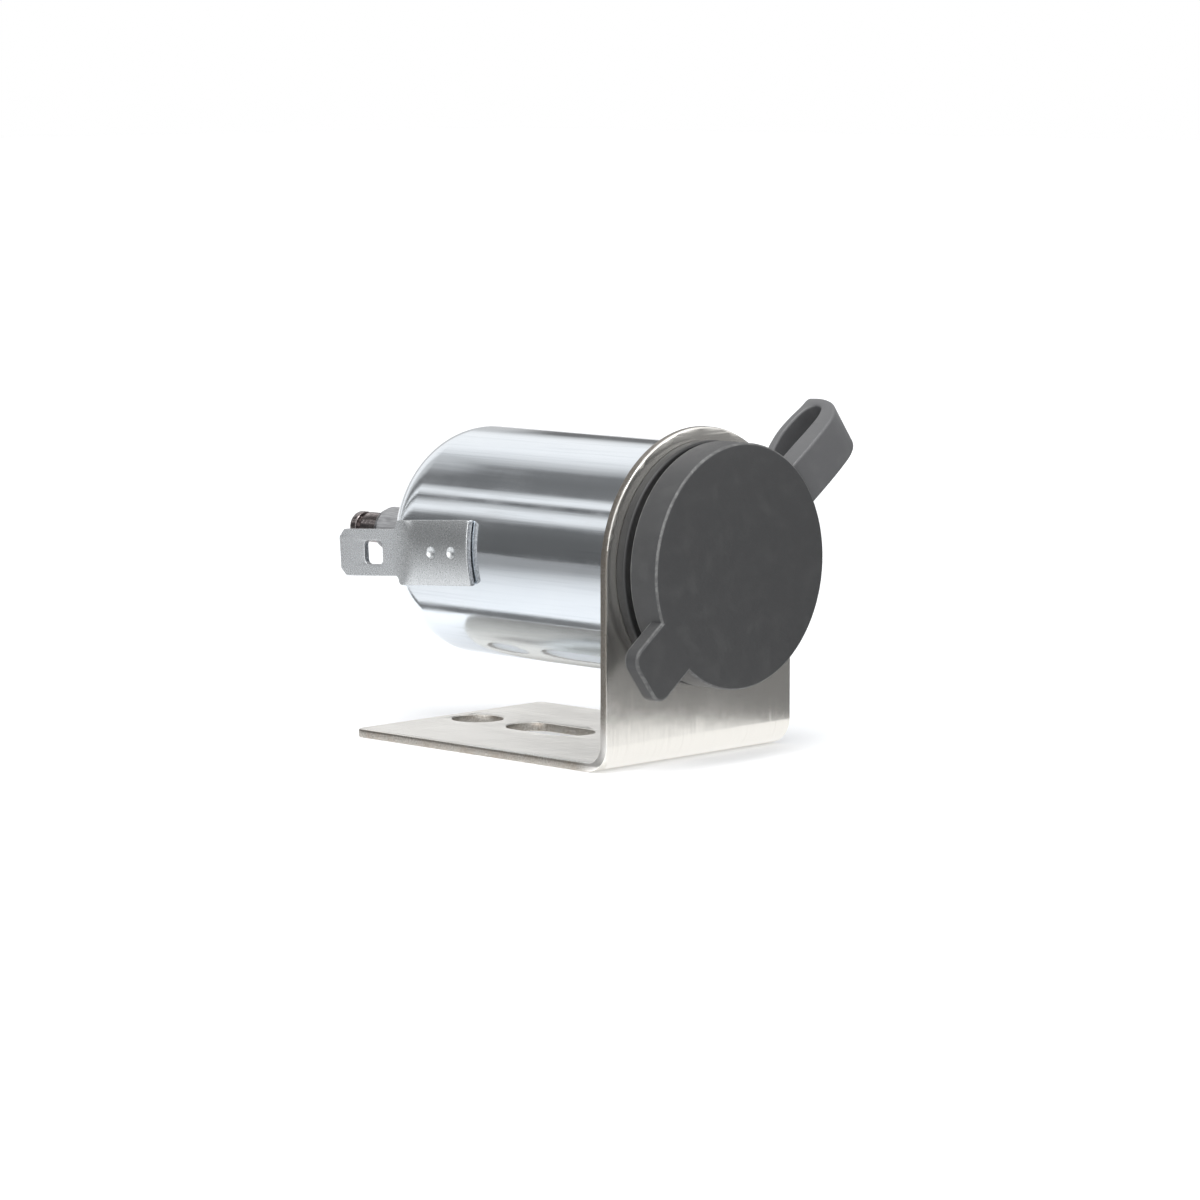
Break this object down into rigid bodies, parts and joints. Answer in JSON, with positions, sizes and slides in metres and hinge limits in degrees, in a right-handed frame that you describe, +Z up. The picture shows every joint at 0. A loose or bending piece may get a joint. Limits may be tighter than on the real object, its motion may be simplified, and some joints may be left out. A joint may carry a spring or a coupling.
{
  "type": "car 12v power socket",
  "caption": "Vehicle accessory power socket on a folded steel bracket, with a rear clamp shell, rear terminals and a tethered rubber dust cap.",
  "frame": {"origin": "centre of the round fixing hole, on the underside of the bracket's base", "axes": "+Z up from the base, -Y forwards along the socket's axis out of its mouth, +X to the right seen from the front"},
  "size_m": [0.0451, 0.0723, 0.0463],
  "materials": {
    "bracket_steel": "nickel plated sheet, satin, faintly brushed upwards",
    "bright_zinc": "bright zinc plate, bluish, drawn",
    "well_steel": "bright nickel plate",
    "dull_zinc": "dull tinned, finely speckled",
    "hardware_zinc": "zinc plate, satin",
    "spring_steel": "dark spring steel, satin",
    "rubber": "moulded rubber, matt, lightly dusty",
    "brown_laminate": "phenolic laminate, matt",
    "grey_plastic": "light grey moulded, satin",
    "dark_brass": "dulled brass, turned"
  },
  "bodies": {
    "housing": {"bracket": "bracket_steel", "clamp_shell": "bright_zinc", "socket_well": "well_steel", "ground_terminal": "dull_zinc", "strap_ring": "rubber", "cap_strap": "rubber", "threaded_neck": "hardware_zinc", "flat_washer": "hardware_zinc", "lock_washer": "spring_steel", "clamp_nut": "hardware_zinc", "front_insulator": "brown_laminate", "insulating_sleeve": "grey_plastic", "centre_contact": "well_steel", "terminal_pin": "dark_brass", "pin_clip": "spring_steel"},
    "cap": {"dust_cap": "rubber"}
  },
  "joints": [
    {"name": "cap_hinge", "type": "hinge", "parent": "housing", "child": "cap", "pos_m": [0.02156, -0.044, 0.04225], "axis": [-0.6018, 0, 0.7986], "range_deg": [0, 150], "deforming": ["cap_strap"]}
  ]
}
